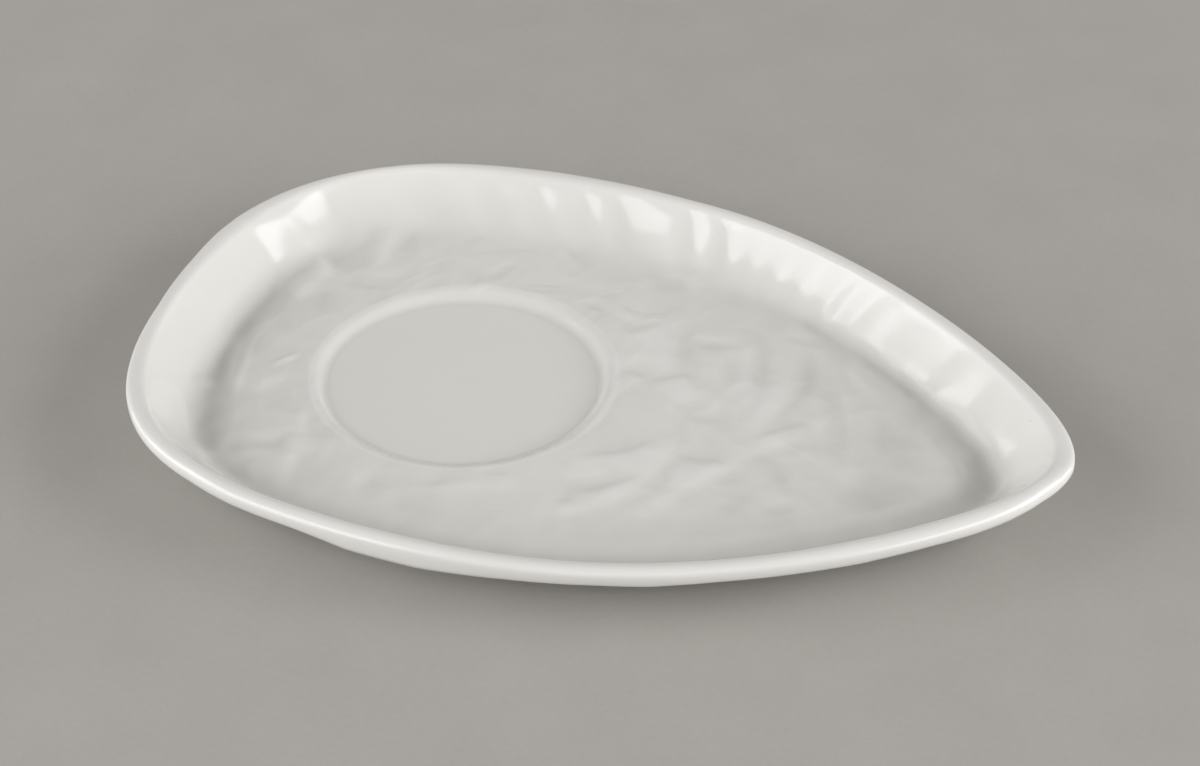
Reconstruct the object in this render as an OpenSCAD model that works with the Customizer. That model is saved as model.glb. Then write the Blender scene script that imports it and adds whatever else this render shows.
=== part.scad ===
// Drop-shaped porcelain saucer with a rounded lip, a fluted wall, a crumpled floor and a round cup well
// towards its blunt end. Millimetres, +Z up, +X towards the tip, standing on z = 0.

/* [Outline] */
// Overall length, from the blunt end to the tip
saucer_len = 195; // [180:1:210]
// Half width at the middle of the length
mid_half_w = 66; // [62:0.5:72]
// Half width on the tip side, 0.35 of the length from the middle
tip_half_w = 36.5; // [34:0.5:40]
// Half width on the blunt side, 0.35 of the length from the middle
blunt_half_w = 58.5; // [55:0.5:62]
// Radius of the rounded tip
tip_r = 17; // [15:0.5:22]
// Radius of the blunt end
blunt_r = 114; // [100:1:130]

/* [Wall and lip] */
// Height of the lip above the table
saucer_h = 15.8; // [15:0.1:18]
// Width of the rounded lip
lip_w = 4.75; // [4:0.25:6]
// Rise of the inner wall over its run
wall_slope = 1.12; // [1:0.01:1.3]
// Softness of the curve from the floor into the wall
cove_soft = 1.2; // [0.6:0.1:1.8]
// Inset of the underside's edge from the outside of the lip
base_run = 14; // [13:0.5:15]
// Depth of the flutes in the wall
flute_depth = 0.9; // [0:0.1:1.2]
// Number of flutes round the wall
flutes = 38; // [24:2:48]

/* [Floor and cup well] */
// Height of the floor above the table
floor_z = 5.6; // [5.2:0.1:6.2]
// Height of the creases in the floor
crease_h = 0.6; // [0:0.1:0.8]
// Diameter of the flat that the cup stands on
well_d = 56; // [48:0.5:60]
// Distance from the blunt end to the middle of the cup well
well_from_end = 66.5; // [64:0.5:72]
// Depth of the cup well below the floor
well_depth = 1.6; // [0.8:0.1:1.8]
// Width of the sloping step round the cup well
step_w = 4.6; // [2.5:0.1:5]

/* [Foot ring] */
// Height of the foot ring
foot_h = 1.6; // [1.2:0.1:2.2]
// Width of the foot ring
foot_w = 3.6; // [2.5:0.1:5]
// Inset of the foot ring from the outside of the lip
foot_inset = 21; // [19:0.5:24]

/* [Hidden] */

glaze_white = [0.87, 0.87, 0.85];
biscuit_white = [0.84, 0.83, 0.79];

columns = 120;
turns = [for (j = [0:columns - 1]) 360 * j / columns];
well = [well_from_end - saucer_len / 2, 0];
well_top_r = well_d / 2 + step_w;

// The lip is half an oval, and the inner wall runs into it at the angle where both have the same slope.
lip_rise = lip_w / 2.6;
lip_edge_z = saucer_h - lip_rise;
lip_start = atan2(lip_rise, wall_slope * lip_w / 2);
lip_end = 210;
function lip_point(a) = [lip_w / 2 * (1 + cos(a)), lip_edge_z + lip_rise * sin(a)];

// Insets of the wall's top, of its foot, and of the floor's edge where the curve into the wall begins.
wall_top = lip_point(lip_start);
wall_foot = wall_top[0] + (wall_top[1] - floor_z) / wall_slope;
floor_run = wall_foot + 3 * cove_soft;

// Folds of the floor, three sets that bend and cross: share of the height, degrees of fold per millimetre
// along x and along y, then how far each set bends to and fro, and degrees of bend per millimetre of y.
crease_sets = [[0.45, 4.1, 6.3, 70, 3.1], [0.35, -3.2, 6.8, 55, 4.4], [0.2, 7.9, 0, 45, 3.7]];

// Degrees of fold that the flutes drift by as they go round, how often, and their lean per millimetre of height.
flute_drifts = [[50, 5], [35, 3]];
flute_lean = 6;

function total(values) = values * [for (v = values) 1];
function unit(v) = v / norm(v);
function smooth(u) = u * u * (3 - 2 * u);

// The half width is sin(t) times a cosine series through five values, 45 degrees of t apart:
// one from the radius of each end, and three from the half widths.
end_values = [sqrt(tip_r * saucer_len / 2), sqrt(blunt_r * saucer_len / 2)];
side_values = [tip_half_w / sin(45), mid_half_w, blunt_half_w / sin(45)];
set_values = [end_values[0], each side_values, end_values[1]];
function end_share(i) = i == 0 || i == 4 ? 0.5 : 1;
series = [
    for (k = [0:4])
        end_share(k) / 2 * total([for (i = [0:4]) end_share(i) * set_values[i] * cos(45 * i * k)])
];
function half_w(t) = total([for (k = [0:4]) series[k] * cos(k * t)]);

// A point of the outline at turn t, drawn in by an inset; t = 0 is the tip and t = 180 the blunt end.
function outline(t, inset) = [(saucer_len / 2 - inset) * cos(t), sin(t) * (half_w(t) - inset)];

// A fold that rises to a sharp crest and falls back once in every half turn of its angle, from 0 to 1.
function fold(a) = 1 - abs(sin(a));
mean_fold = 1 - 2 / PI;

function floor_crease(p) =
    crease_h * (total([for (c = crease_sets) c[0] * fold(c[1] * p.x + c[2] * p.y + c[3] * sin(c[4] * p.y))])
        - mean_fold);

// The flutes fade out at the lip and at the base.
function flute(t, z) =
    flute_depth * sin(180 * (z - foot_h) / (saucer_h - foot_h))
        * fold(flutes / 2 * t + total([for (d = flute_drifts) d[0] * sin(d[1] * t)]) + flute_lean * (z - floor_z));

// Height of the inner wall over the floor at an inset: level at first, then softly up to the full slope.
function wall_rise(inset) = wall_slope * cove_soft * ln(1 + exp((wall_foot - inset) / cove_soft));

// Level rings of points, each the full turn round.
function floor_edge(t) = outline(t, floor_run + flute(t, floor_z)) - well;
function step_ring(r, z) = [for (t = turns) [each well + r * unit(floor_edge(t)), z]];
function floor_ring(share) = [
    for (t = turns)
        let (reach = norm(floor_edge(t)))
        let (p = well + unit(floor_edge(t)) * (well_top_r + share * (reach - well_top_r)))
        [each p, floor_z + floor_crease(p) * smooth(min(1, 4 * share, 4 * (1 - share)))]
];
function wall_ring(inset, z) = [for (t = turns) [each outline(t, inset + flute(t, z)), z]];
function lip_ring(inset, z) = [for (t = turns) [each outline(t, inset), z]];

// The section as [inset, height]: the inner wall from the floor up, over the lip, and the outer wall down.
inner_wall = [
    for (u = [0:0.125:0.875])
        let (inset = floor_run + (wall_top[0] - floor_run) * u)
        [inset, floor_z + wall_rise(inset)]
];
lip_curve = [for (u = [0:0.125:1]) lip_point(lip_start + (lip_end - lip_start) * u)];
lip_under = lip_curve[len(lip_curve) - 1];
outer_wall = [
    for (u = [0.8:-0.2:0])
        [base_run + (lip_under[0] - base_run) * u, foot_h + (lip_under[1] - foot_h) * (0.7 * u + 0.3 * u * u)]
];

// Skins a stack of rings, closing the first ring from above and the last from below.
module ring_stack(rings) {
    n = columns;
    last = len(rings) - 1;
    side_faces = [
        for (i = [0:last - 1], j = [0:n - 1])
            let (k = (j + 1) % n)
            each [
                [i * n + j, i * n + k, (i + 1) * n + k],
                [i * n + j, (i + 1) * n + k, (i + 1) * n + j]
            ]
    ];
    top_face = [for (j = [n - 1:-1:0]) j];
    bottom_face = [for (j = [0:n - 1]) last * n + j];
    polyhedron([for (r = rings) each r], [top_face, each side_faces, bottom_face]);
}

// The glazed dish: cup well, floor, wall and lip in one thickness of porcelain.
module tray() {
    step_rings = [
        for (u = [0:0.25:1])
            step_ring(well_d / 2 + step_w * u, floor_z - well_depth * (1 - smooth(u)))
    ];
    floor_rings = [for (share = [1:10]) floor_ring(share / 11)];
    inner_rings = [for (s = inner_wall) wall_ring(s[0], s[1])];
    lip_rings = [for (s = lip_curve) lip_ring(s[0], s[1])];
    outer_rings = [for (s = outer_wall) wall_ring(s[0], s[1])];
    color(glaze_white)
        ring_stack([each step_rings, each floor_rings, each inner_rings, each lip_rings, each outer_rings]);
}

// The bare ring that the saucer stands on, following the outline.
module foot_ring() {
    color(biscuit_white)
        linear_extrude(foot_h)
            difference() {
                polygon([for (t = turns) outline(t, foot_inset)]);
                polygon([for (t = turns) outline(t, foot_inset + foot_w)]);
            }
}

tray();
foot_ring();
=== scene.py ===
import math

import bpy
import numpy as np
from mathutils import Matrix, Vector


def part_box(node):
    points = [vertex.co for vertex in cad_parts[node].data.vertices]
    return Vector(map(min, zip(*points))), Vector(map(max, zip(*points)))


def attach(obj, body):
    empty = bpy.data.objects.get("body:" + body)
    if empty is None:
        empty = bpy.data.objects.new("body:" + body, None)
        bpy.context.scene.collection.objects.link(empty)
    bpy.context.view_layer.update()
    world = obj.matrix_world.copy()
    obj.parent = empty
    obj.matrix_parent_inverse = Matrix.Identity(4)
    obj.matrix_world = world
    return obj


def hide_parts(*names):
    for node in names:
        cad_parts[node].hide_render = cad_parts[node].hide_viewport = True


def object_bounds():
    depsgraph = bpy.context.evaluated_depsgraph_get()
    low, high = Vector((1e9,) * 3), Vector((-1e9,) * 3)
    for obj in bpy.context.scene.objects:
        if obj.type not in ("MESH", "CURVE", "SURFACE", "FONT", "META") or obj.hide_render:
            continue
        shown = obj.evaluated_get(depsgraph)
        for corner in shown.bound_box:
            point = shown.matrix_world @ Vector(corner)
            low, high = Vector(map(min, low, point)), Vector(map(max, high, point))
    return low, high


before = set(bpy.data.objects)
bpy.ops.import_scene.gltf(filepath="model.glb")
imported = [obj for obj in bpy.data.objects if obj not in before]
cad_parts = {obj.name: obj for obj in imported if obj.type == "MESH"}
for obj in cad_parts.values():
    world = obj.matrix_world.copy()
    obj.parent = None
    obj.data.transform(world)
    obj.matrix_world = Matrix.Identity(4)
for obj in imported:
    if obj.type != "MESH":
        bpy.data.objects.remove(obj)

mm = 0.001
cadLow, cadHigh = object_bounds()
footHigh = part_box("foot_ring")[1]
scene = bpy.context.scene
print("frame loaded with", ", ".join(sorted(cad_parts)))

# The drop outline in millimetres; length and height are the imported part's own
drop = {
    "length": (cadHigh.x - cadLow.x) / mm,
    "height": cadHigh.z / mm,
    "midHalf": 66.0,       # half width at the middle of the length
    "tipHalf": 36.5,       # half width 45 degrees of turn from the tip
    "bluntHalf": 58.5,     # half width 45 degrees of turn from the blunt end
    "tipRadius": 17.0,
    "bluntRadius": 114.0,
}


# Half width over sin(turn): a cosine series through five values 45 degrees apart, two from the end
# radii and three from the half widths; each coefficient is a weighted sum of the values and cosines
def dropSeries(d):
    half = d["length"] / 2
    corner = math.sin(math.pi / 4)
    ends = np.sqrt(np.array([d["tipRadius"], d["bluntRadius"]]) * half)
    values = np.array([ends[0], d["tipHalf"] / corner, d["midHalf"], d["bluntHalf"] / corner, ends[1]])
    share = np.array([0.5, 1, 1, 1, 0.5])
    k = np.arange(5)
    return share / 2 * (np.cos(np.pi / 4 * np.outer(k, k)) @ (share * values))


series = dropSeries(drop)


# Point of the outline: x = (half length - inset) cos(turn), y = sin(turn) (series(turn) - inset)
def rimPoint(turn, inset):
    halfWidth = sum(c * np.cos(k * turn) for k, c in enumerate(series))
    return (drop["length"] / 2 - inset) * np.cos(turn), np.sin(turn) * (halfWidth - inset)


# Turns at even steps of length along the rim, closer together by a share at the back: the running length,
# weighted by 1 + share * sin(turn), is inverted by interpolation
def evenTurns(count, share, samples=8001):
    fine = np.linspace(0, 2 * np.pi, samples)
    x, y = rimPoint(fine, 0)
    weight = 1 + share * np.sin((fine[1:] + fine[:-1]) / 2)
    run = np.concatenate([[0], np.cumsum(weight * np.hypot(np.diff(x), np.diff(y)))])
    return np.interp(np.arange(count) / count * run[-1], run, fine)


# 0 at a, 1 at b, 3u^2 - 2u^3 between
def smoothStep(a, b, x):
    u = np.clip((x - a) / (b - a), 0, 1)
    return u * u * (3 - 2 * u)


# Gradient noise on a square lattice: dot products of seeded unit gradients, blended by 6u^5 - 15u^4 + 10u^3
def latticeNoise(x, y, cell, seed, size=64):
    angle = np.random.default_rng(seed).uniform(0, 2 * np.pi, (size, size))
    gx, gy = np.cos(angle), np.sin(angle)
    i, j = np.floor(x / cell).astype(int), np.floor(y / cell).astype(int)
    u, v = x / cell - i, y / cell - j

    def corner(a, b):
        p, q = (i + a) % size, (j + b) % size
        return gx[p, q] * (u - a) + gy[p, q] * (v - b)

    fu = u ** 3 * (u * (6 * u - 15) + 10)
    fv = v ** 3 * (v * (6 * v - 15) + 10)
    low = corner(0, 0) * (1 - fu) + corner(1, 0) * fu
    high = corner(0, 1) * (1 - fu) + corner(1, 1) * fu
    return low * (1 - fv) + high * fv


# Camera at the photograph's angle: degrees, and millimetres
view = {
    "turn": 19.7,
    "lift": 36.6,
    "distance": 600.6,
    "aim": (-6.1, 15.1, drop["height"] - 17.0),
    "fieldOfView": 24.0,
    "sensorWidth": 36.0,
    "nearest": 10.0,
}


# The camera stands at its distance from the aim, in the direction of its turn and lift, and looks back
# along it
def makeCamera():
    a, e = math.radians(view["turn"]), math.radians(view["lift"])
    back = Vector((math.sin(a) * math.cos(e), -math.cos(a) * math.cos(e), math.sin(e)))
    camera = bpy.data.objects.new("studioCamera", bpy.data.cameras.new("studioCamera"))
    scene.collection.objects.link(camera)
    camera.data.sensor_width = view["sensorWidth"]
    camera.data.angle = math.radians(view["fieldOfView"])
    camera.data.clip_start = view["nearest"] * mm
    camera.location = (Vector(view["aim"]) + back * view["distance"]) * mm
    camera.rotation_euler = (-back).to_track_quat("-Z", "Y").to_euler()
    scene.camera = camera


makeCamera()
print("camera set")

# The tray's section in millimetres and its mesh. A list of rows has a turn in degrees first in each row
tray = {
    "columns": 480,
    "backShare": 0.35,     # how much closer the columns stand at the back
    "rings": {"well": 5, "step": 12, "floor": 118, "wall": 30, "lip": 18, "outer": 10, "fillet": 4},
    "floorZ": drop["height"] - 10.2,
    "wellX": -31.0,
    "wellDepth": 1.6,
    "wellHub": 0.15,       # radius of the innermost ring, as a share of the well's
    "stepTop": 32.6,       # radius at the top of the step round the well
    "stepWidth": (4.6, 1.3),    # width of the step, and how much wider it is at the back
    "stepSharp": 4.6,      # above 0 makes the middle of the step steeper than its ends
    "stepRelief": (4.5, 2.0),   # the floor's relief fades in between these distances inside the step's top
    "coveInset": 24.0,     # where the floor starts to curve up into the wall
    # rise over run of the wall, and how softly it meets the floor
    "walls": [
        (0, 1.1, 1.3), (30, 1.12, 1.2), (60, 1.16, 1.5), (90, 1.22, 2.1), (120, 1.25, 2.9),
        (145, 1.22, 2.4), (167, 1.12, 1.6), (180, 1.06, 0.9), (198, 1.07, 1.2), (215, 1.08, 0.9),
        (270, 1.1, 0.8), (360, 1.1, 1.3),
    ],
    # hollow along the wall's foot: its depth, the inset of its middle, its half width, and how many times
    # steeper its bank is on the wall's side
    "hollows": [
        (0, 2.0, 15.8, 4.6, 1.4), (5, 2.0, 15.6, 5.2, 1.7), (12, 1.65, 15.1, 5.8, 2),
        (17, 1.4, 14.6, 6, 2.1), (22, 1.3, 14.2, 6.2, 2.2), (28, 1.25, 14.2, 6, 2.2),
        (35, 1.05, 14.2, 5.6, 2.1), (42, 0.75, 14.3, 5, 1.9), (50, 0.55, 14.5, 4.6, 1.8),
        (65, 0.24, 15.2, 2.8, 1), (90, 0, 16, 2.6, 1), (150, 0, 16, 2.6, 1), (157, 0.45, 14.5, 2.6, 1.3),
        (161, 0.3, 14, 2.8, 1.3), (165, 0.7, 13.7, 3.2, 1.4), (170, 0.95, 13.7, 3.8, 1.4),
        (175, 1.3, 14, 4.2, 1.4), (180, 1.3, 14.4, 4.2, 1.4), (183.5, 1, 14.8, 4, 1.4),
        (187, 1, 15, 4.2, 1.3), (193, 0.95, 15.2, 4.6, 1.1), (198, 0.8, 15.2, 4.8, 1),
        (203, 1, 14.2, 4.4, 1.2), (208, 1.05, 13.3, 3.8, 1.3), (213, 0.3, 12.8, 3.2, 1.2),
        (220, 0.6, 14.6, 2.8, 1), (270, 0.5, 16, 2.6, 1), (345, 1.9, 16, 3.4, 1),
        (350, 1.85, 16, 3.6, 1.1), (355, 1.9, 15.9, 4.1, 1.2), (360, 2.0, 15.8, 4.6, 1.4),
    ],
    "hollowFade": 4.0,     # the hollow ends over this length before the floor
    "fluteStart": (0.03, 0.3),   # shares of the wall's height over which the flutes come in
    "fluteEnd": (0.85, 1, 0.7),  # shares over which they fade towards the lip, and by how much
    "fluteRounds": {"foot": 1.6, "wall": 1.1, "lip": 1.8, "outer": 2.5},   # degrees they are rounded over
    "scallop": 3.0,        # how far the flutes push the wall's foot in and out
    "scallopShare": 0.15,  # share of the wall's height at which that is read
    "lipFlutes": 0.3,      # how much of the flutes the lip's inside has
    "lipWidth": 4.75,
    "lipRise": 1.83,
    "lipStart": 34.0,      # angle on the lip's oval where the wall runs into it
    "lipEnd": 220.0,
    "lipSquare": 0.7,      # below 1 tightens the lip's outer edge, except where it rolls down
    "lipWaver": 0.25,
    # how far the lip's outer edge stands out
    "rimOffsets": [
        (0, 0.15), (15, -0.1), (30, -0.45), (45, -0.85), (55, -1.0), (70, -0.9), (84, -0.65), (92, -0.7),
        (102, 0.05), (111, 0.45), (120, 0.1), (128, -0.5), (138, -1.4), (145, -1.3), (152, -0.7),
        (158, -0.1), (165, 0.5), (170, 0.4), (176, -0.3), (186, -0.9), (194, -0.5), (204, -0.25),
        (216, -0.3), (228, -0.5), (236, 0), (330, 0), (336, -0.1), (346, -0.55), (354, -0.2), (360, 0.15),
    ],
    # how much further down the lip's outside rolls
    "lipRolls": [
        (0, 0), (215, 0), (232, 0.75), (240, 0.85), (245, 0.9), (249, 1.4), (253, 2.25), (262, 2.45),
        (272, 1.45), (282, 1.05), (288, 1.2), (296, 0.65), (312, 1.1), (322, 0.7), (330, 0.85),
        (345, 0.35), (360, 0),
    ],
    # how much lower the lip is on its inside
    "lipTilts": [(0, 0), (215, 0), (240, 0.9), (300, 0.9), (340, 0), (360, 0)],
    "baseInset": 14.0,
    "wallBulge": 1.3,      # above 1 swells the outer wall
    "rollBulge": 0.12,     # how much less it swells for each millimetre of roll
    "outerFlutes": 1.1,    # how much of the flutes the outer wall has
    "outerStart": (0.02, 0.3),   # shares of the way down over which they come in
    "outerEnd": (0.8, 1),        # and over which they fade
    "underEdge": 1.0,      # first ring of the underside, in from the base
    "underShrinks": (0.7, 0.4, 0.12),   # rings inside the foot, as shares of its inner edge
    "footInset": 21.0,
    "footWidth": 3.6,
    "footFillet": 0.8,
    "footHeight": footHigh.z / mm,
    # how far the glaze is darkened to its pooled colour, from 0 to 1: painted shade in creases and hollows,
    # partly glaze lying thicker there; on the floor and the wall it is less on crests, for each millimetre of
    # relief, and less up the wall
    "poolShades": {"well": 0.3, "step": 0.6, "floor": 0.3, "floorRelief": 0.5, "wall": 0.35, "wallRelief": 0.6,
              "wallTop": 0.2, "lip": 0.05, "outer": 0.2, "under": 0.4},
    "hollowShade": 0.2,     # painted shade: how much darker the glaze is along the wall's foot, for each millimetre of hollow
    "shadeReach": 7.0,      # how far that painted shade goes on into the floor
}
poolShades = tray["poolShades"]

# Soft steps of the floor: slope at the middle, width in millimetres, then the points each one runs through.
# A positive slope falls towards the tip and the front, a negative one rises
floorSteps = [
    # between the well and the tip, front half
    (0.25, 3.4, [(44, 5), (38.5, -0.5), (35.6, -3.8), (32.6, -7.9), (30, -12), (27.6, -16.6), (25.4, -19.6),
                 (24.4, -23.8), (23.6, -28), (20.5, -33)]),
    (-0.34, 1.4, [(32.5, -2.2), (34.7, 0.6), (38, 4.5), (40.9, 7.4), (43.5, 10)]),
    (-0.34, 3.0, [(19, -11.2), (25, -12), (31.5, -10)]),
    (-0.20, 2.0, [(20, -12), (20.2, -16), (20.9, -21), (21.8, -23)]),
    (0.24, 3.4, [(14, 10), (15.8, 3), (17, -2.5), (18, -7), (18.3, -11), (17.6, -15), (16.6, -20),
                 (15.2, -25), (12.6, -28.5), (10.3, -31.5), (6.8, -35.2), (0, -38.5)]),
    (-0.26, 1.8, [(15.3, 6.5), (16.4, 3.5), (17.6, 0.5), (19, -3.2), (20, -6)]),
    (-0.20, 3.0, [(16.5, -4.5), (13.2, -9.7), (9.7, -13.8), (5, -16.8), (-1, -19)]),
    (-0.24, 3.0, [(16, -17), (14.2, -21.2), (11.5, -24.4), (7.9, -27.4), (2, -30.5)]),
    (0.18, 3.5, [(-2, -25.6), (1.5, -25), (5, -23.8), (9.7, -20.5)]),
    (-0.20, 3.4, [(1.5, -33.5), (3.2, -33), (5.5, -32)]),
    (0.16, 2.6, [(22, -31), (18.5, -32.3), (14.4, -31)]),
    (-0.14, 2.8, [(21, -19), (20, -24), (18, -30)]),
    (-0.22, 1.8, [(39, 1), (41.5, -5.5), (42.9, -9.2), (45, -15)]),
    (0.20, 2.6, [(37.5, -4), (39, -9), (40.5, -14)]),
    (-0.20, 1.6, [(44.5, 24), (46.8, 17.5), (49, 13), (50.6, 8.5), (52.4, 0.3), (53.3, -8)]),
    (0.26, 4.0, [(58, 0), (57.5, -4), (56.6, -7.5), (54.5, -11)]),
    (0.26, 2.4, [(47, -15.5), (43.8, -18.3), (40.5, -21.5)]),
    (-0.13, 3.0, [(39, -10), (38, -18), (36, -25)]),
    (0.20, 3.0, [(34.5, -15), (34, -20), (32, -25)]),
    (-0.13, 3.0, [(50, -10), (48, -17), (45, -24)]),
    (0.16, 2.8, [(29.5, -24), (28.5, -28), (26.5, -32)]),
    # between the well and the tip, back half
    (0.36, 4.0, [(34.2, 34), (35.2, 27), (35.9, 22), (35.8, 15.8), (34.3, 9.2), (32.3, 1.5)]),
    (-0.22, 2.8, [(37.3, 33), (38.6, 26), (39.1, 22), (38.3, 16.5), (36.6, 10), (35.2, 7)]),
    (-0.22, 2.8, [(27.4, 35), (28.3, 28), (29.4, 22), (30.8, 15), (31.3, 8), (31.4, 2)]),
    (0.36, 3.6, [(22.8, 36), (24.2, 29), (25.4, 24.2), (26.6, 19), (28.6, 14)]),
    (-0.20, 2.6, [(20.8, 34), (21.8, 28), (22.6, 23), (23, 17), (21.8, 11), (20.6, 7)]),
    (0.22, 3.4, [(18, 27), (19.5, 20), (20.2, 15)]),
    (0.17, 2.8, [(9, 28.6), (15.6, 29.7), (21.5, 30.5)]),
    (-0.13, 2.4, [(10.5, 25.6), (16, 26.6), (20.3, 27.4), (23, 28)]),
    (-0.20, 2.6, [(8.2, 34), (10.2, 27.5), (12.2, 23.5), (13, 20)]),
    (0.28, 4.0, [(5, 38), (6.6, 30), (7.8, 24), (8.8, 18), (9.4, 12.5)]),
    (-0.20, 2.8, [(2.4, 31.5), (-0.5, 27.5), (-3, 24.8)]),
    (-0.18, 3.4, [(-0.8, 12.4), (3.2, 12), (5.5, 11)]),
    (-0.18, 2.8, [(4.6, 9), (9, 11.8), (15.6, 16.6)]),
    (0.16, 4.0, [(25, 9), (22, 5.5), (19.5, 1.5)]),
    (0.14, 4.0, [(19, 10.5), (13, 4.5)]),
    (0.24, 1.8, [(43.2, 30), (46.5, 26), (50.2, 21.5)]),
    (0.24, 3.0, [(42, 23), (44.6, 14), (46.3, 8), (47.2, 2)]),
    (-0.14, 2.6, [(39.6, 20), (41.8, 13), (43.2, 8), (44, 3)]),
    (0.20, 3.0, [(53, 20), (56.5, 11), (58.6, 2)]),
    (-0.26, 3.4, [(28.5, 42.5), (34.8, 38.8), (39.5, 35.5)]),
    (-0.22, 1.8, [(27, 34.4), (36, 34.2), (43, 34)]),
    (-0.26, 3.4, [(41, 36), (50, 30.4), (57, 25.8), (66, 19)]),
    (-0.20, 7.0, [(60, 20), (67, 9), (69, 0), (66, -10), (60, -19)]),
    # the well's raised edge on the side of the tip
    (0.32, 2.4, [(-4.4, -16), (-1, -9), (0.1, 0), (-1.1, 9), (-4.4, 16)]),
    # left of the well
    (0.26, 3.5, [(-73.6, 21.5), (-74.2, 17), (-75.2, 12.5)]),
    (-0.52, 2.6, [(-78.7, 31.5), (-75, 27.8), (-70, 24)]),
    (0.13, 3.0, [(-71, 26.8), (-66, 27), (-61.3, 27.6), (-56, 30)]),
    (-0.17, 1.0, [(-69, 21.7), (-64, 22.3), (-60, 23.1), (-56.5, 24.5)]),
    (-0.22, 3.2, [(-69, 46), (-68, 37), (-67.5, 31)]),
    (0.28, 3.0, [(-65, 49), (-63.8, 38), (-62.4, 30.5)]),
    (-0.17, 2.6, [(-61, 49), (-60.2, 42), (-59.2, 36)]),
    (-0.15, 1.3, [(-70.3, 19.5), (-70, 15.5), (-68.2, 10.5)]),
    (0.25, 1.2, [(-76.6, 9), (-77.5, 1.8), (-77.6, -4.5), (-75.8, -10), (-74, -18), (-72.3, -25)]),
    (-0.25, 2.2, [(-82, -4.7), (-80, -12), (-76.5, -19), (-73.5, -24)]),
    (-0.18, 3.0, [(-79.6, 6), (-80.2, 1), (-80.2, -5)]),
    (-0.5, 2.0, [(-83.5, -17.5), (-82, -23.5)]),
    (0.30, 1.3, [(-70.8, -12.3), (-65.3, -4.3)]),
    (-0.25, 0.9, [(-71.4, -11.2), (-66.3, -3.7)]),
    (0.2, 3.0, [(-70, -22), (-68, -17), (-65.5, -12)]),
    # behind the well
    (-0.28, 1.7, [(-28, 52), (-23.6, 48), (-20, 44.7)]),
    (-0.20, 1.8, [(-45, 49.4), (-49.2, 44.5)]),
    (-0.22, 1.4, [(-32, 48.3), (-37.3, 46.2), (-40.5, 44.4), (-46, 41.8)]),
    (-0.11, 1.0, [(-38.8, 41), (-32.7, 38.2)]),
    (0.11, 2.0, [(-37.5, 43), (-34, 40)]),
    (-0.20, 0.9, [(-32, 35.4), (-28, 35.2), (-25.5, 36.2), (-21, 37.5)]),
    (-0.24, 1.1, [(-33, 34), (-29.1, 33.1), (-25.5, 33.5), (-21, 35.5)]),
    (-0.15, 4.0, [(-41, 34.5), (-37, 33.2)]),
    (0.12, 1.0, [(-49.5, 40.3), (-53.2, 35.7), (-55, 32)]),
    (-0.25, 2.2, [(-9, 46.8), (-5, 47), (-2, 47)]),
    (-0.16, 1.1, [(-5, 46), (-8, 44.5), (-13, 43.2)]),
    (-0.27, 2.8, [(1, 51), (3.2, 47.3), (4.5, 45)]),
    (-0.15, 1.3, [(-13, 43), (-11.5, 40), (-10.5, 37.5)]),
    (0.15, 2.4, [(-15, 38), (-14.2, 36.3), (-11.8, 33.5), (-8.2, 31.2), (-3.6, 29.4), (-0.5, 30)]),
    (-0.20, 1.9, [(-16.5, 33.3), (-14, 31.8), (-11, 30.8)]),
    (-0.17, 2.3, [(-6.5, 25.6), (-3.5, 25.8), (-1, 27), (2.5, 31.5)]),
    (-0.18, 0.8, [(-9.5, 35.5), (-5, 33), (0, 33.5), (5, 36)]),
    (-0.18, 0.8, [(-8.5, 34.2), (-4, 31.9), (1, 32.5), (5, 34.8)]),
    (-0.15, 1.6, [(1.5, 36.3), (3.2, 37), (5.5, 38.5)]),
    # in front of the well
    (-0.15, 1.6, [(-17, -31), (-11.7, -29), (-7, -28.4)]),
    (-0.13, 2.2, [(-27.5, -38.3), (-22, -36), (-18.9, -34), (-14, -31.3)]),
    (0.13, 3.3, [(-21.5, -39), (-14.4, -34.8), (-8.5, -32), (-5, -33.5)]),
    (0.26, 2.4, [(-58, -21), (-55.8, -26.4), (-53.2, -31)]),
    (0.24, 2.8, [(-53.5, -34), (-52.2, -41), (-51.7, -46)]),
    (0.22, 2.8, [(-36.3, -34), (-36.9, -39), (-38, -46)]),
    (0.2, 2.4, [(-29.5, -39), (-28.3, -47)]),
    (-0.22, 2.6, [(-58, -31), (-56, -37)]),
    (-0.18, 3.0, [(-65.5, -36), (-64.5, -42)]),
]

# How the steps end, and the fine folds between them, in millimetres
crumple = {
    "sharp": 1.76,         # makes a step's width that of its slope's half height
    "fallSide": (0.6, -0.8),    # direction in which a positive slope falls
    "away": (1.5, 2.5),    # a step dies away over this many times its width, and this much more
    "reach": (4, 8),       # and is left out beyond this many times its width, and this much more
    "endLength": 9.0,      # it also fades over this length at each end
    "endShare": 0.4,       # or over this share of a short one
    "endRest": -0.05,      # share past its end where nothing is left
    "warp": 3.0,           # how far the folds are bent to and fro
    "warpCell": 17.0,
    "warpSeeds": (3, 4),
    "crest": 0.25,         # share of a fold's height at its crest
    # folds: height, how much closer they stand along x and y, cell, seed
    "folds": [(0.32, 1.5, 0.85, 14.0, 5), (0.22, 1.4, 0.9, 7.5, 6)],
}


# A line through given points made smooth: each corner is cut off twice, at a quarter of its two sides
def smoothLine(points):
    p = np.array(points, float)
    for _ in range(2):
        cut = np.stack([0.75 * p[:-1] + 0.25 * p[1:], 0.25 * p[:-1] + 0.75 * p[1:]], axis=1).reshape(-1, 2)
        p = np.vstack([p[:1], cut[1:-1], p[-1:]])
    return p


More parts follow.
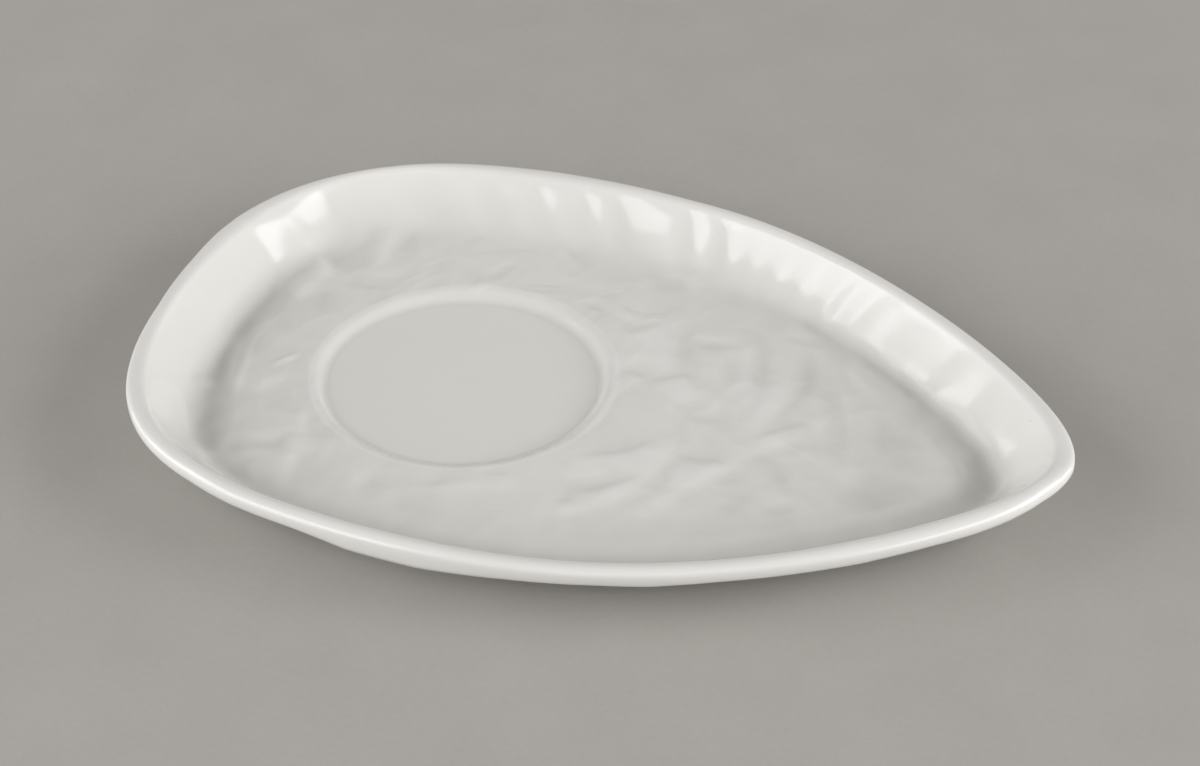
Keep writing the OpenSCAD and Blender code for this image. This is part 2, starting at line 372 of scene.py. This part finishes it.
# Height of one soft step at every point: slope times width / sharp, times tanh(sharp times the distance to
# its line / width), dying away exponentially on both sides and smoothly towards each end
def stepHeight(x, y, slope, width, points):
    p = smoothLine(points)
    lengths = np.hypot(*np.diff(p, axis=0).T)
    start = np.concatenate([[0], np.cumsum(lengths)])
    reach = crumple["reach"][0] * width + crumple["reach"][1]
    near = (x > p[:, 0].min() - reach) & (x < p[:, 0].max() + reach)
    near &= (y > p[:, 1].min() - reach) & (y < p[:, 1].max() + reach)
    px, py = x[near], y[near]
    nearest = np.full(px.shape, np.inf)
    across = np.zeros(px.shape)
    along = np.zeros(px.shape)
    fallX, fallY = crumple["fallSide"]
    for k, length in enumerate(lengths):
        dx, dy = (p[k + 1] - p[k]) / length
        side = math.copysign(1, fallX * dy - fallY * dx)
        u = np.clip((px - p[k, 0]) * dx + (py - p[k, 1]) * dy, 0, length)
        gap = np.hypot(px - p[k, 0] - u * dx, py - p[k, 1] - u * dy)
        closer = gap < nearest
        nearest = np.where(closer, gap, nearest)
        across = np.where(closer, side * ((px - p[k, 0]) * dy - (py - p[k, 1]) * dx), across)
        along = np.where(closer, (start[k] + u) / start[-1], along)
    rest, end = crumple["endRest"], min(crumple["endShare"], crumple["endLength"] / start[-1])
    fade = smoothStep(rest, end, along) * smoothStep(rest, end, 1 - along)
    fade = fade * np.exp(-nearest / (crumple["away"][0] * width + crumple["away"][1]))
    sharp = crumple["sharp"]
    height = np.zeros(x.shape)
    height[near] = -slope * width / sharp * np.tanh(sharp * across / width) * fade
    return height


# Relief of the floor: all steps, plus soft ridges where two warped noises pass through zero
def floorRelief(x, y):
    relief = sum(stepHeight(x, y, *step) for step in floorSteps)
    bendX, bendY = (latticeNoise(x, y, crumple["warpCell"], seed) for seed in crumple["warpSeeds"])
    warpX, warpY = x + crumple["warp"] * bendX, y + crumple["warp"] * bendY
    for height, closeX, closeY, cell, seed in crumple["folds"]:
        noise = latticeNoise(closeX * warpX, closeY * warpY, cell, seed)
        relief = relief + height * (crumple["crest"] - np.abs(noise))
    return relief


# Flutes of the wall: turn in degrees and height in millimetres towards the inside, crests and furrows in turn
wallFlutes = [
    (0, 0.0), (18, -0.03), (28, 0.05), (34, -0.06), (40, 0.08), (44.5, -0.06), (49.5, 0.05), (54, -0.03),
    (58, 0.04), (61, -0.06), (63.8, 0.13), (66, -0.06), (69, 0.1), (71.5, -0.05), (73.8, 0.11),
    (76, -0.04), (78.2, 0.1), (80.2, -0.02), (82, 0.08), (84.5, -0.2), (87, 0.3), (90, -0.1), (92.5, 0.4),
    (100.5, -0.3), (103.2, 0.14), (106, -0.17), (110.3, 0.19), (113.5, -0.15), (117, 0.15), (121, -0.15),
    (126, 0.14), (132, -0.14), (140, 0.14), (152, -0.25), (160.5, 0.3), (166.5, -0.1), (171, -0.05),
    (176, -0.02), (181, 0.05), (187, -0.04), (193, 0.06), (199, -0.06), (205, 0.05), (212, -0.05),
    (216, -0.1), (222, 0.18), (228, -0.16), (233, 0.14), (238, -0.2), (244, 0.22), (250, -0.24),
    (254, 0.2), (261, -0.26), (266, 0.18), (270, -0.14), (277, 0.26), (281, -0.2), (285, 0.12),
    (288, -0.12), (293, 0.2), (298, -0.18), (302, 0.12), (306, -0.14), (313, 0.16), (319, -0.1),
    (325, 0.2), (333, -0.15), (343, 0.1), (360, 0.0),
]
# How far the flutes lean sideways from the wall's top to its foot, turn and degrees
fluteLean = [
    (0, 0), (60, -2.5), (88, 1), (100, 2.5), (115, 2), (150, 2), (200, 0), (260, 4), (300, -3), (360, 0),
]


# Height of the flutes at a turn and a share of the wall's height: straight runs between crests and furrows,
# rounded by averaging over a short stretch of turn, and leaning sideways with height
def fluteHeight(turn, share, rounding):
    turns, heights = np.array(wallFlutes).T
    leanTurns, leans = np.array(fluteLean).T
    degrees = np.degrees(turn)
    degrees = degrees + np.interp(degrees % 360, leanTurns, leans) * (0.5 - share)
    weights = np.array([1, 3, 5, 6, 5, 3, 1]) / 24
    offsets = np.linspace(-1, 1, len(weights)) * rounding
    return sum(w * np.interp((degrees + o) % 360, turns, heights) for o, w in zip(offsets, weights))


# The columns of the tray's mesh, and what changes from one to the next
turn = evenTurns(tray["columns"], tray["backShare"])[None, :]


# Values of one of the tray's lists at every column, straight between its rows
def alongRim(name):
    turns, *values = np.array(tray[name]).T
    return [np.interp(np.degrees(turn), turns, v) for v in values]


wallSlope, coveSoft = alongRim("walls")
hollow, hollowMiddle, hollowWidth, hollowBank = alongRim("hollows")
# painted shade along the wall's foot, more where the hollow is deeper
hollowShade = tray["hollowShade"] * hollow
(rimOffset,), (lipRoll,), (lipTilt,) = (alongRim(name) for name in ("rimOffsets", "lipRolls", "lipTilts"))
lipPower = tray["lipSquare"] + (1 - tray["lipSquare"]) * np.clip(lipRoll, 0, 1)
lipHalf = tray["lipWidth"] / 2
lipEdgeZ = drop["height"] - tray["lipRise"]

# Lines from the well's middle to the floor's edge: their lengths and directions, and the step's width on them
edgeX, edgeY = rimPoint(turn, tray["coveInset"])
edgeReach = np.hypot(edgeX - tray["wellX"], edgeY)
outX, outY = (edgeX - tray["wellX"]) / edgeReach, edgeY / edgeReach
stepWidth = tray["stepWidth"][0] + tray["stepWidth"][1] * np.clip(outY, 0, 1)


# Point at a distance from the well's middle on each column's line
def wellPoint(distance):
    return tray["wellX"] + distance * outX, distance * outY


# Even stations from first to last, one for each ring of a zone; a zone that follows on leaves out its first
def stations(first, last, count, followsOn=False):
    return np.linspace(first, last, count + followsOn)[int(followsOn):, None]


# Well: level, from a small ring round its middle to the foot of its step
def wellZone():
    r = stations(tray["wellHub"], 1, tray["rings"]["well"]) * (tray["stepTop"] - stepWidth)
    return *wellPoint(r), tray["floorZ"] - tray["wellDepth"], poolShades["well"]


# Step round the well: (1 + tanh(sharp (u - 1/2)) / tanh(sharp / 2)) / 2 of its depth, u from 0 to 1 across it
def stepZone():
    top, sharp = tray["stepTop"], tray["stepSharp"]
    u = stations(0, 1, tray["rings"]["step"], followsOn=True)
    r = top - stepWidth * (1 - u)
    x, y = wellPoint(r)
    rise = 0.5 + 0.5 * np.tanh(sharp * (u - 0.5)) / math.tanh(sharp / 2)
    fadeFrom, fadeTo = tray["stepRelief"]
    relief = floorRelief(x, y) * smoothStep(top - fadeFrom, top - fadeTo, r)
    # painted shade: the glaze is darker towards the step's foot
    return x, y, tray["floorZ"] - tray["wellDepth"] * (1 - rise) + relief, poolShades["step"] * (1 - u)


# Floor: level but for its relief; painted shade darkens its glaze in creases and, exponentially more, towards
# the hollow along the wall's foot
def floorZone():
    u = stations(0, 1, tray["rings"]["floor"], followsOn=True)
    r = tray["stepTop"] + u * (edgeReach - tray["stepTop"])
    x, y = wellPoint(r)
    relief = floorRelief(x, y)
    poolShade = poolShades["floor"] - poolShades["floorRelief"] * relief
    poolShade = poolShade + hollowShade * np.exp((r - edgeReach) / tray["shadeReach"])
    return x, y, tray["floorZ"] + relief, np.clip(poolShade, 0, 1)


# Inner wall: a straight slope that runs softly into the floor, slope * soft * ln(1 + exp(run / soft)); its
# foot goes in and out with the flutes while its top stays on the lip. The flutes, the last of the floor's
# relief and the hollow, a bell curve in the inset, push it square to its surface
def wallZone():
    t, soft, cove = tray, coveSoft, tray["coveInset"]
    rounds = t["fluteRounds"]
    a = math.radians(t["lipStart"])
    lipInset = lipHalf * (1 + math.cos(a))
    wallRise = lipEdgeZ + t["lipRise"] * math.sin(a) - lipTilt * (1 + math.cos(a)) / 2 - t["floorZ"]
    run = soft * np.log(np.expm1(wallRise / (wallSlope * soft)))
    run = run + t["scallop"] * fluteHeight(turn, t["scallopShare"], rounds["foot"])
    slope = wallRise / (soft * np.log1p(np.exp(run / soft)))
    upWall = np.linspace(0, 1, t["rings"]["wall"] + 2)[1:-1, None]
    inset = cove + (lipInset - cove) * upWall
    ahead = (lipInset + run - inset) / soft
    atCove = np.log1p(np.exp((lipInset + run - cove) / soft))
    rise = slope * soft * (np.log1p(np.exp(ahead)) - atCove * (inset - lipInset) / (cove - lipInset))
    lean = np.arctan(slope / (1 + np.exp(-ahead)))
    share = rise / wallRise
    onWall = smoothStep(*t["fluteStart"], share)
    fadeFrom, fadeTo, fadeBy = t["fluteEnd"]
    fade = 1 - fadeBy * smoothStep(fadeFrom, fadeTo, share)
    flutes = fluteHeight(turn, share, rounds["wall"]) * onWall * fade
    past = (inset - hollowMiddle) / hollowWidth * np.where(inset < hollowMiddle, hollowBank, 1)
    dip = hollow * smoothStep(cove, cove - t["hollowFade"], inset) * np.exp(-past ** 2)
    push = floorRelief(*rimPoint(turn, inset)) * (1 - onWall) - dip + flutes
    x, y = rimPoint(turn, inset + push * np.sin(lean))
    # painted shade: the glaze is darker in furrows, lower on the wall and along its foot
    poolShade = poolShades["wall"] - poolShades["wallRelief"] * push - poolShades["wallTop"] * share + hollowShade * (1 - onWall)
    return x, y, t["floorZ"] + rise + push * np.cos(lean), np.clip(poolShade, 0, 1)


# Lip: half an oval, cos(a) across and sin(a) up, with a tighter outer edge where both are raised to lipPower.
# Its outside goes further down by the roll, its inside is lower by the tilt, and its top wavers in height by
# sines of the turn
def lipZone():
    t = tray
    a = np.radians(stations(t["lipStart"], t["lipEnd"], t["rings"]["lip"]))
    c, s = np.cos(a), np.sin(a)
    p = np.where(c < 0, lipPower, 1)
    waver = 0.5 + 0.5 * np.sin(5 * turn + 1) * np.sin(3 * turn)
    waver = waver + 0.3 * np.sin(11 * turn + 2 * np.sin(2 * turn))
    inset = lipHalf * (1 + np.sign(c) * np.abs(c) ** p) - rimOffset * (1 - c) / (1 - c[-1])
    flutes = t["lipFlutes"] * fluteHeight(turn, 1.0, t["fluteRounds"]["lip"]) * np.clip(c, 0, 1)
    x, y = rimPoint(turn, inset + flutes)
    depth = t["lipRise"] + np.where(s < 0, lipRoll / np.abs(s[-1]) ** lipPower, 0)
    z = lipEdgeZ + depth * np.sign(s) * np.abs(s) ** p - t["lipWaver"] * waver * np.clip(s, 0, 1)
    return x, y, z - lipTilt * (1 + c) / 2, poolShades["lip"]


# Outer wall: from under the lip, or lower by the roll, to the base; it goes in evenly with u and falls by
# bulge u + (1 - bulge) u^2 of its height, with the flutes on its back
def outerZone():
    t, end = tray, math.radians(tray["lipEnd"])
    firstInset = lipHalf * (1 - abs(math.cos(end)) ** lipPower)
    firstZ = lipEdgeZ - t["lipRise"] * abs(math.sin(end)) ** lipPower - lipRoll
    bulge = t["wallBulge"] - t["rollBulge"] * lipRoll
    u = stations(0, 1, t["rings"]["outer"], followsOn=True)
    fade = smoothStep(*t["outerStart"], u) * (1 - smoothStep(*t["outerEnd"], u))
    flutes = t["outerFlutes"] * fluteHeight(turn, 1 - u, t["fluteRounds"]["outer"]) * fade
    x, y = rimPoint(turn, firstInset + (t["baseInset"] - firstInset) * u + flutes - rimOffset * (1 - u))
    return x, y, firstZ - (firstZ - t["footHeight"]) * (bulge * u + (1 - bulge) * u * u), poolShades["outer"]


# Underside: level, with a quarter circle down to the foot on each side of it
def underZones():
    t, under, poolShade = tray, tray["footHeight"], poolShades["under"]
    outerFoot, innerFoot = t["footInset"], t["footInset"] + t["footWidth"]
    quarter = np.radians(stations(0, 90, t["rings"]["fillet"]))
    bySine, byCosine = t["footFillet"] * (1 - np.sin(quarter)), t["footFillet"] * (1 - np.cos(quarter))
    x, y = rimPoint(turn, innerFoot + t["footFillet"])
    shrink = np.array(t["underShrinks"])[:, None]
    return [
        (*rimPoint(turn, t["baseInset"] + t["underEdge"]), under, poolShade),
        (*rimPoint(turn, outerFoot - bySine), under - byCosine, poolShade),
        (*rimPoint(turn, innerFoot + byCosine), under - bySine, poolShade),
        (x * shrink, y * shrink, under, poolShade),
    ]


# The tray as rings of columns, zone after zone from the well out, over the lip and in under the base: the
# points, and how much painted shade darkens the glaze on them
def trayRings():
    zones = [wellZone(), stepZone(), floorZone(), wallZone(), lipZone(), outerZone(), *underZones()]
    rings = np.concatenate([np.stack(np.broadcast_arrays(*zone, turn)[:4], axis=-1) for zone in zones])
    return rings[..., :3], rings[..., 3]


# A mesh from rings: quads between neighbouring rings and columns, and a fan to a middle point at each end
def skinRings(name, rings, closedLoop=False):
    count, columns = rings.shape[:2]
    i = np.arange(count if closedLoop else count - 1)[:, None]
    j = np.arange(columns)[None, :]
    a, b = i * columns + j, i * columns + (j + 1) % columns
    c, d = (i + 1) % count * columns + (j + 1) % columns, (i + 1) % count * columns + j
    faces = np.stack([a, d, c, b], axis=-1).reshape(-1, 4).tolist()
    points = rings.reshape(-1, 3)
    if not closedLoop:
        points = np.vstack([points, rings[0].mean(0), rings[-1].mean(0)])
        first, last = len(points) - 2, len(points) - 1
        j = np.arange(columns)
        k = (j + 1) % columns
        base = (count - 1) * columns
        faces += np.stack([np.full(columns, first), j, k], axis=1).tolist()
        faces += np.stack([np.full(columns, last), base + k, base + j], axis=1).tolist()
    mesh = bpy.data.meshes.new(name)
    mesh.from_pydata((points * mm).tolist(), [], faces)
    mesh.polygons.foreach_set("use_smooth", np.ones(len(faces), bool))
    mesh.update()
    piece = bpy.data.objects.new(name, mesh)
    scene.collection.objects.link(piece)
    return piece


# The tray's skin, with the painted shade of its glaze as an attribute of its points and of the two middle
# points
def makeTray():
    rings, shadeAmount = trayRings()
    piece = skinRings("glazed_tray", rings)
    shadeAmount = np.concatenate([shadeAmount.ravel(), [poolShades["well"], poolShades["under"]]]).astype(np.float32)
    piece.data.attributes.new("glazeShade", "FLOAT", "POINT").data.foreach_set("value", shadeAmount)
    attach(piece, "root")
    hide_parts("tray")
    print("tray made with", len(piece.data.polygons), "faces")
    return piece


# The bare foot: its section in millimetres, and its mesh
foot = {
    "columns": 400,
    "edgeRound": 0.8,
    "edgePoints": 7,
    "taper": 0.25,
    "knee": (0.3, 0.6),    # shares of the taper and of the height where each side bends
    "hiddenTop": 0.5,      # how far its top ends below the tray's underside, between the fillets
}


# Foot section: a rounded bar, sides leaning in by the taper, bottom corners quarter circles, carried round
# the outline
def makeFoot():
    r, taper = foot["edgeRound"], foot["taper"]
    outer, inner = tray["footInset"], tray["footInset"] + tray["footWidth"]
    top = tray["footHeight"] - foot["hiddenTop"]
    kneeIn, kneeZ = foot["knee"][0] * taper, foot["knee"][1] * top
    angles = np.radians(np.linspace(0, 90, foot["edgePoints"]))
    corner = [(taper + r * (1 - math.cos(a)), r * (1 - math.sin(a))) for a in angles]
    side = [(0, top), (kneeIn, kneeZ), *corner]
    section = [(outer + into, z) for into, z in side] + [(inner - into, z) for into, z in side[::-1]]
    footTurn = evenTurns(foot["columns"], 0)
    inset, z = np.array(section).T[:, :, None]
    rings = np.stack(np.broadcast_arrays(*rimPoint(footTurn, inset), z), axis=-1)
    piece = skinRings("bare_foot", rings, closedLoop=True)
    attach(piece, "root")
    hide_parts("foot_ring")
    print("foot made with", len(piece.data.polygons), "faces")
    return piece


trayPiece = makeTray()
footPiece = makeFoot()


# Adds a node, sets its properties and then its inputs; an input given as a socket is linked
def addNode(tree, kind, inputs=None, **properties):
    node = tree.nodes.new(kind)
    for name, value in properties.items():
        setattr(node, name, value)
    for name, value in (inputs or {}).items():
        if isinstance(value, bpy.types.NodeSocket):
            tree.links.new(value, node.inputs[name])
        else:
            node.inputs[name].default_value = value
    return node


# A sum, product or comparison of two or three values or sockets
def addMath(tree, operation, *values):
    return addNode(tree, "ShaderNodeMath", dict(enumerate(values)), operation=operation).outputs[0]


# One colour laid over another by a mask from 0 to 1
def overlay(tree, mask, under, over):
    mix = addNode(tree, "ShaderNodeMix", {"Factor": mask, "A": under, "B": over}, data_type="RGBA")
    return mix.outputs["Result"]


# An empty shader group with its float inputs and outputs, and its two end nodes
def newGroup(name, inputs, outputs):
    tree = bpy.data.node_groups.new(name, "ShaderNodeTree")
    for label, value in inputs.items():
        tree.interface.new_socket(label, in_out="INPUT", socket_type="NodeSocketFloat").default_value = value
    for label in outputs:
        tree.interface.new_socket(label, in_out="OUTPUT", socket_type="NodeSocketFloat")
    return tree, tree.nodes.new("NodeGroupInput").outputs, tree.nodes.new("NodeGroupOutput").inputs


grainForm = {
    "detail": 3.0,
    "roughness": 0.6,
    "coarseShare": 0.07,   # cells of the coarse noise for one of the fine
    "coarseDetail": 2.0,
    "low": 0.3,            # the fine noise lies mostly between these two
    "high": 0.7,
}


# Grain of glaze, clay and paper: fine and coarse noise in the object's own metres; Tone is 1 +- Amount, and
# Height is the fine noise alone
def makeGrain():
    g = grainForm
    tree, given, out = newGroup("fineGrain", {"Cells": 400.0, "Amount": 0.05}, ("Tone", "Height"))
    place = addNode(tree, "ShaderNodeTexCoord").outputs["Object"]
    fine = addNode(tree, "ShaderNodeTexNoise", {
        "Vector": place, "Scale": given["Cells"], "Detail": g["detail"], "Roughness": g["roughness"],
    }).outputs["Fac"]
    coarseCells = addMath(tree, "MULTIPLY", given["Cells"], g["coarseShare"])
    coarse = addNode(tree, "ShaderNodeTexNoise", {
        "Vector": place, "Scale": coarseCells, "Detail": g["coarseDetail"],
    }).outputs["Fac"]
    centred = addMath(tree, "SUBTRACT", addMath(tree, "ADD", fine, coarse), 1.0)
    tree.links.new(addMath(tree, "MULTIPLY_ADD", centred, given["Amount"], 1.0), out["Tone"])
    tree.links.new(fine, out["Height"])
    return tree


# Iron specks of the clay: a dot within Radius of the middle of a cell, in the Share of cells with the
# lowest random value
def makeSpecks():
    tree, given, out = newGroup("claySpecks", {"Cells": 140.0, "Radius": 0.022, "Share": 0.07}, ("Mask",))
    place = addNode(tree, "ShaderNodeTexCoord").outputs["Object"]
    cells = addNode(tree, "ShaderNodeTexVoronoi", {"Vector": place, "Scale": given["Cells"]}).outputs
    dot = addMath(tree, "LESS_THAN", cells["Distance"], given["Radius"])
    chance = addNode(tree, "ShaderNodeSeparateColor", {0: cells["Color"]}).outputs[0]
    rare = addMath(tree, "LESS_THAN", chance, given["Share"])
    tree.links.new(addMath(tree, "MULTIPLY", dot, rare), out["Mask"])
    return tree


fineGrain = makeGrain()
claySpecks = makeSpecks()


# A new material, its nodes and the inputs of its shader
def newMaterial(name):
    material = bpy.data.materials.new(name)
    material.use_nodes = True
    return material, material.node_tree, material.node_tree.nodes["Principled BSDF"].inputs


# The grain's outputs in a material, with its cells to the metre and the amount of its tone
def addGrain(tree, cells, amount):
    return addNode(tree, "ShaderNodeGroup", {"Cells": cells, "Amount": amount}, node_tree=fineGrain).outputs


# A colour, or a socket that gives one, made lighter and darker by the grain
def toned(tree, colour, grain):
    tone = addNode(tree, "ShaderNodeHueSaturation", {"Color": colour, "Value": grain["Tone"]})
    return tone.outputs["Color"]


# The skin of a finish: its roughness runs between two values with the grain's height, and it is bumped by it
def grainSkin(tree, shader, grain, finish):
    low, high = finish["roughness"]
    rough = addNode(tree, "ShaderNodeMapRange", {
        "Value": grain["Height"], "From Min": grainForm["low"], "From Max": grainForm["high"],
        "To Min": low, "To Max": high,
    })
    bump = addNode(tree, "ShaderNodeBump", {
        "Height": grain["Height"], "Strength": finish["bumpStrength"], "Distance": finish["bumpHeight"],
    })
    tree.links.new(rough.outputs["Result"], shader["Roughness"])
    tree.links.new(bump.outputs["Normal"], shader["Normal"])


glaze = {
    "white": (0.735, 0.732, 0.714, 1),
    "shadedPool": (0.62, 0.608, 0.578, 1),     # a darker, warmer colour the glaze is turned to as painted shade in hollows and creases, where it also lies thick
    "speck": (0.5, 0.47, 0.43, 1),
    "roughness": (0.13, 0.18),
    "rippleCells": 160.0,
    "toneAmount": 0.03,
    "bumpStrength": 0.5,
    "bumpHeight": 0.00002,
    "coatWeight": 0.12,
    "coatRoughness": 0.03,
}


# Glaze: white to a darker painted shade by the tray's shade attribute, toned by the grain, dotted by the
# specks; its skin ripples
def makeGlaze():
    material, tree, shader = newMaterial("glazedPorcelain")
    grain = addGrain(tree, glaze["rippleCells"], glaze["toneAmount"])
    poolShade = addNode(tree, "ShaderNodeAttribute", attribute_name="glazeShade").outputs["Fac"]
    body = toned(tree, overlay(tree, poolShade, glaze["white"], glaze["shadedPool"]), grain)
    specks = addNode(tree, "ShaderNodeGroup", node_tree=claySpecks)
    tree.links.new(overlay(tree, specks.outputs["Mask"], body, glaze["speck"]), shader["Base Color"])
    grainSkin(tree, shader, grain, glaze)
    shader["Coat Weight"].default_value = glaze["coatWeight"]
    shader["Coat Roughness"].default_value = glaze["coatRoughness"]
    return material


bare = {
    "clay": (0.66, 0.635, 0.585, 1),
    "rubbed": (0.5, 0.48, 0.445, 1),     # grey from table tops
    "rubHeight": 0.0003,
    "rubCells": 90.0,
    "rubDetail": 4.0,
    "speck": (0.3, 0.26, 0.22, 1),
    "speckCells": 320.0,
    "roughness": (0.5, 0.7),
    "grainCells": 2200.0,
    "toneAmount": 0.16,
    "bumpStrength": 0.6,
    "bumpHeight": 0.00006,
}


# Bare clay: toned by a finer grain, greyer in patches on the face it stands on, dotted by the specks, rough
def makeBare():
    material, tree, shader = newMaterial("barePorcelain")
    grain = addGrain(tree, bare["grainCells"], bare["toneAmount"])
    place = addNode(tree, "ShaderNodeTexCoord").outputs["Object"]
    height = addNode(tree, "ShaderNodeSeparateXYZ", {"Vector": place}).outputs["Z"]
    low = addMath(tree, "LESS_THAN", height, bare["rubHeight"])
    patches = addNode(tree, "ShaderNodeTexNoise", {
        "Vector": place, "Scale": bare["rubCells"], "Detail": bare["rubDetail"],
    }).outputs["Fac"]
    rub = addMath(tree, "MULTIPLY", low, patches)
    body = overlay(tree, rub, toned(tree, bare["clay"], grain), bare["rubbed"])
    specks = addNode(tree, "ShaderNodeGroup", {"Cells": bare["speckCells"]}, node_tree=claySpecks)
    tree.links.new(overlay(tree, specks.outputs["Mask"], body, bare["speck"]), shader["Base Color"])
    grainSkin(tree, shader, grain, bare)
    return material


trayPiece.data.materials.append(makeGlaze())
footPiece.data.materials.append(makeBare())
print("finishes set")

# The studio: a plain warm grey floor, soft lights low and high on both sides, a weak one on the camera's side
# and a faint even sky
studio = {
    "floorSize": 6.0,
    "floorColour": (0.40, 0.383, 0.363, 1),
    "floorRoughness": 0.7,
    "paperCells": 700.0,
    "toneAmount": 0.1,
    "sky": (0.315, 0.307, 0.29, 1),
    "lights": [
        # name, azimuth and lift from the camera's line in degrees, distance, width, height, watts
        ("leftSoftbox", -111, 16, 2.0, 2.3, 1.15, 24.3),
        ("leftHigh", -114, 37, 2.0, 1.6, 0.6, 8.2),
        ("leftBack", -80, 36, 2.0, 0.9, 0.6, 1.75),
        ("leftLow", -80, 8, 2.0, 1.6, 0.54, 7.5),
        ("rightSoftbox", 115, 18.5, 2.0, 2.0, 1.05, 24.0),
        ("rightLow", 90, 9, 2.0, 1.5, 0.6, 14.4),
        ("rightHigh", 97, 35, 2.0, 1.0, 0.42, 5.4),
        ("frontFill", 180, 45, 2.0, 1.5, 0.8, 1.5),
    ],
}


# Floor: one square on z = 0, of paper toned by the grain
def makeFloor():
    half = studio["floorSize"] / 2
    corners = [(-half, -half, 0), (half, -half, 0), (half, half, 0), (-half, half, 0)]
    mesh = bpy.data.meshes.new("studio_floor")
    mesh.from_pydata(corners, [], [(0, 1, 2, 3)])
    floor = bpy.data.objects.new("studio_floor", mesh)
    scene.collection.objects.link(floor)
    material, tree, shader = newMaterial("studioPaper")
    grain = addGrain(tree, studio["paperCells"], studio["toneAmount"])
    tree.links.new(toned(tree, studio["floorColour"], grain), shader["Base Color"])
    shader["Roughness"].default_value = studio["floorRoughness"]
    mesh.materials.append(material)


# Each light stands at its azimuth and lift, seen from the saucer, and faces it
def makeLights():
    for name, azimuth, lift, distance, width, height, watts in studio["lights"]:
        lamp = bpy.data.lights.new(name, "AREA")
        lamp.shape, lamp.size, lamp.size_y, lamp.energy = "RECTANGLE", width, height, watts
        a, e = math.radians(azimuth - view["turn"]), math.radians(lift)
        place = Vector((math.sin(a) * math.cos(e), math.cos(a) * math.cos(e), math.sin(e)))
        light = bpy.data.objects.new(name, lamp)
        light.location = place * distance
        light.rotation_euler = (-place).to_track_quat("-Z", "Y").to_euler()
        scene.collection.objects.link(light)
    world = bpy.data.worlds.new("studioSky")
    world.use_nodes = True
    world.node_tree.nodes["Background"].inputs["Color"].default_value = studio["sky"]
    scene.world = world


makeFloor()
makeLights()
scene.view_settings.view_transform = "Standard"
print("studio set")
